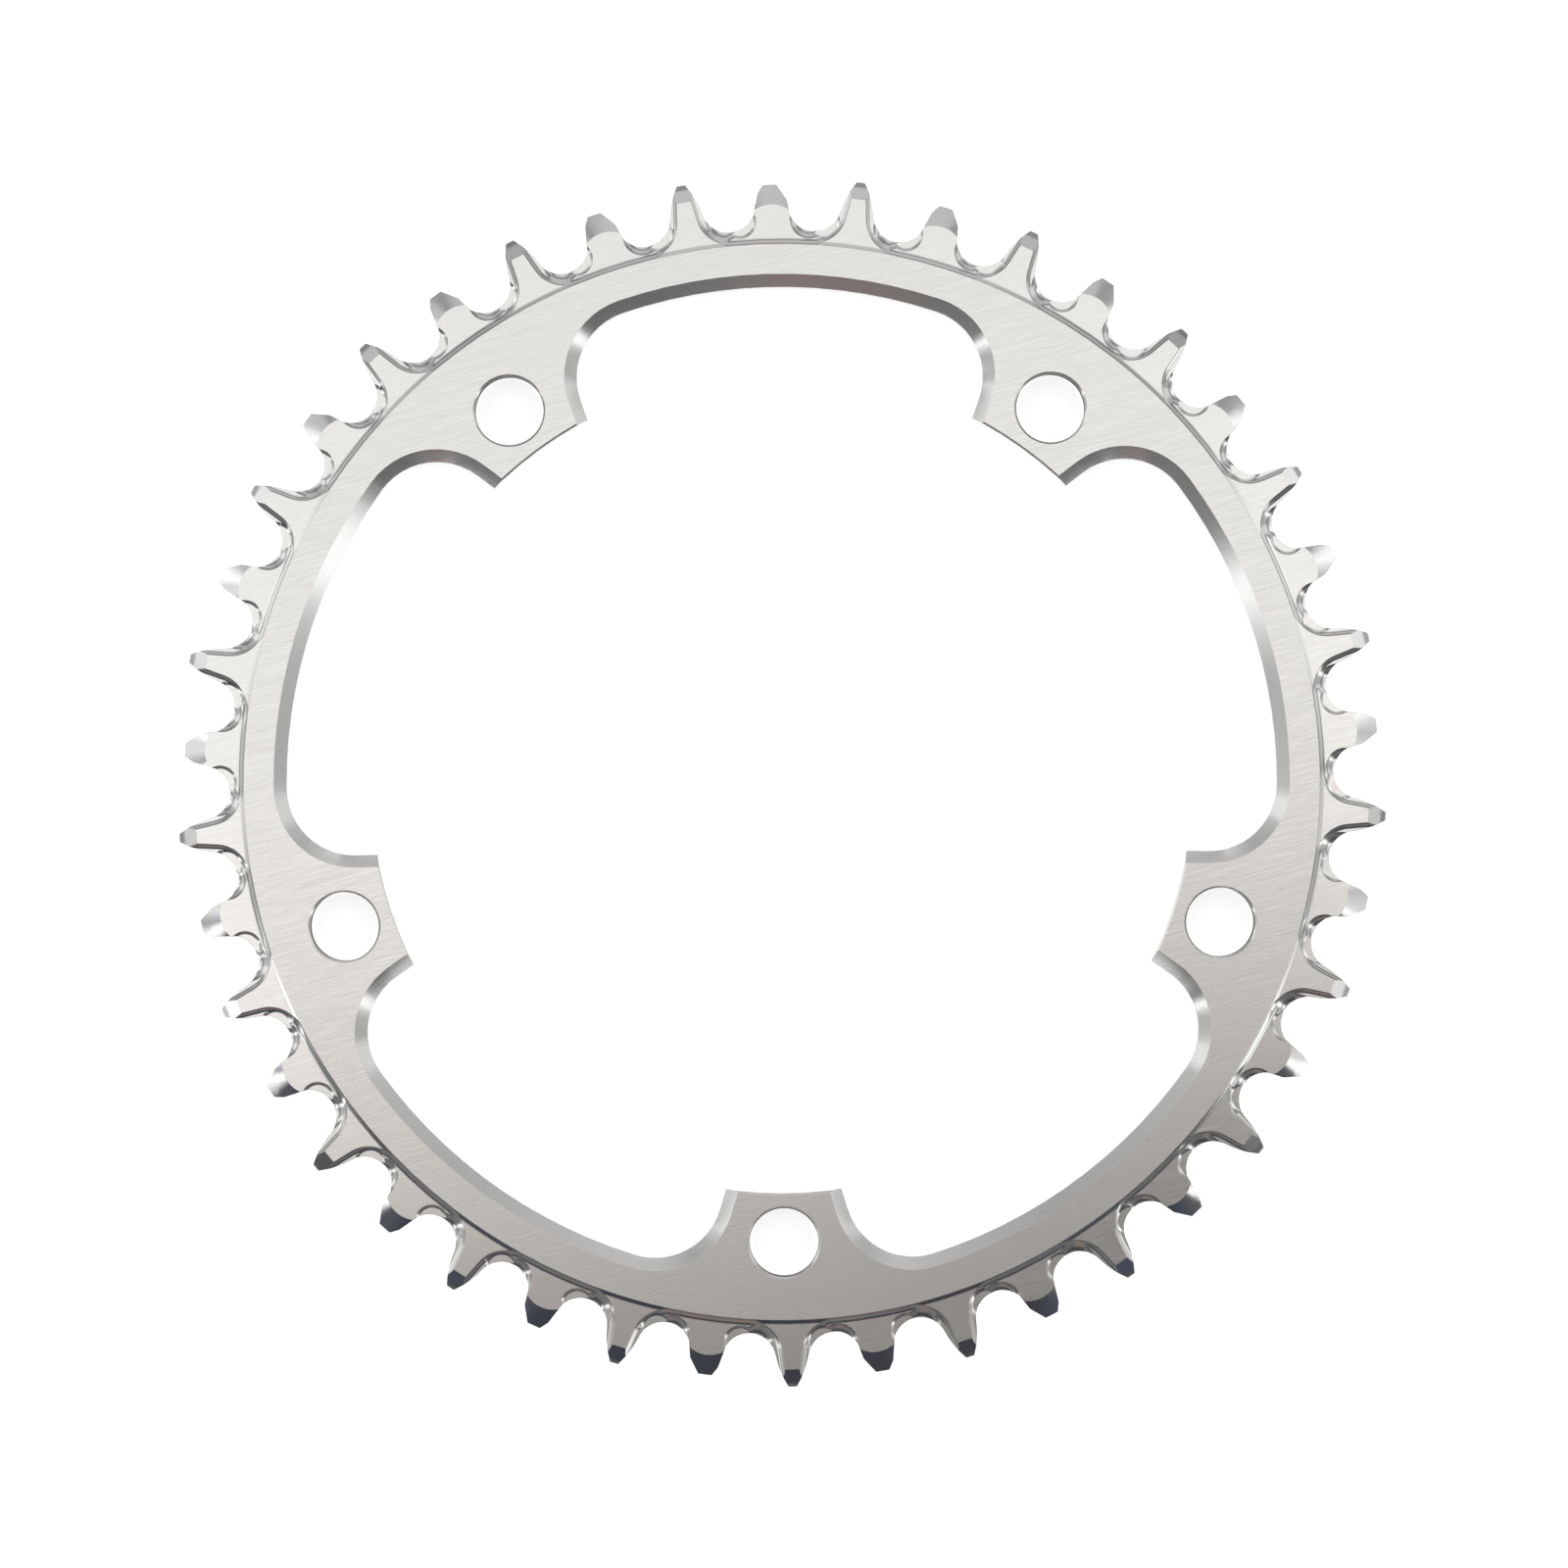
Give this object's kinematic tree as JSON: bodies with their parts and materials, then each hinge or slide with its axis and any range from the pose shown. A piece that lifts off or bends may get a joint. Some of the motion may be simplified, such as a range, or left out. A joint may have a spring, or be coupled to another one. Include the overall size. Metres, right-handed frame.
{
  "type": "bicycle chainring",
  "caption": "Flat toothed ring that carries a bicycle chain and bolts to a crank spider through inward tabs; its teeth are alternately wide and narrow.",
  "frame": {"origin": "centre of the bolt circle, which is the ring's axis, on the flat back face", "axes": "+Z along the ring's axis out of the front face, with the bevelled windows; -Y through one bolt hole; +X completes the frame"},
  "size_m": [0.1771, 0.1768, 0.004],
  "materials": {
    "brushed_aluminium": "linear brushed faces, machined tooth flanks, clear satin anodised"
  },
  "bodies": {
    "root": {"chainring": "brushed_aluminium"}
  },
  "joints": []
}
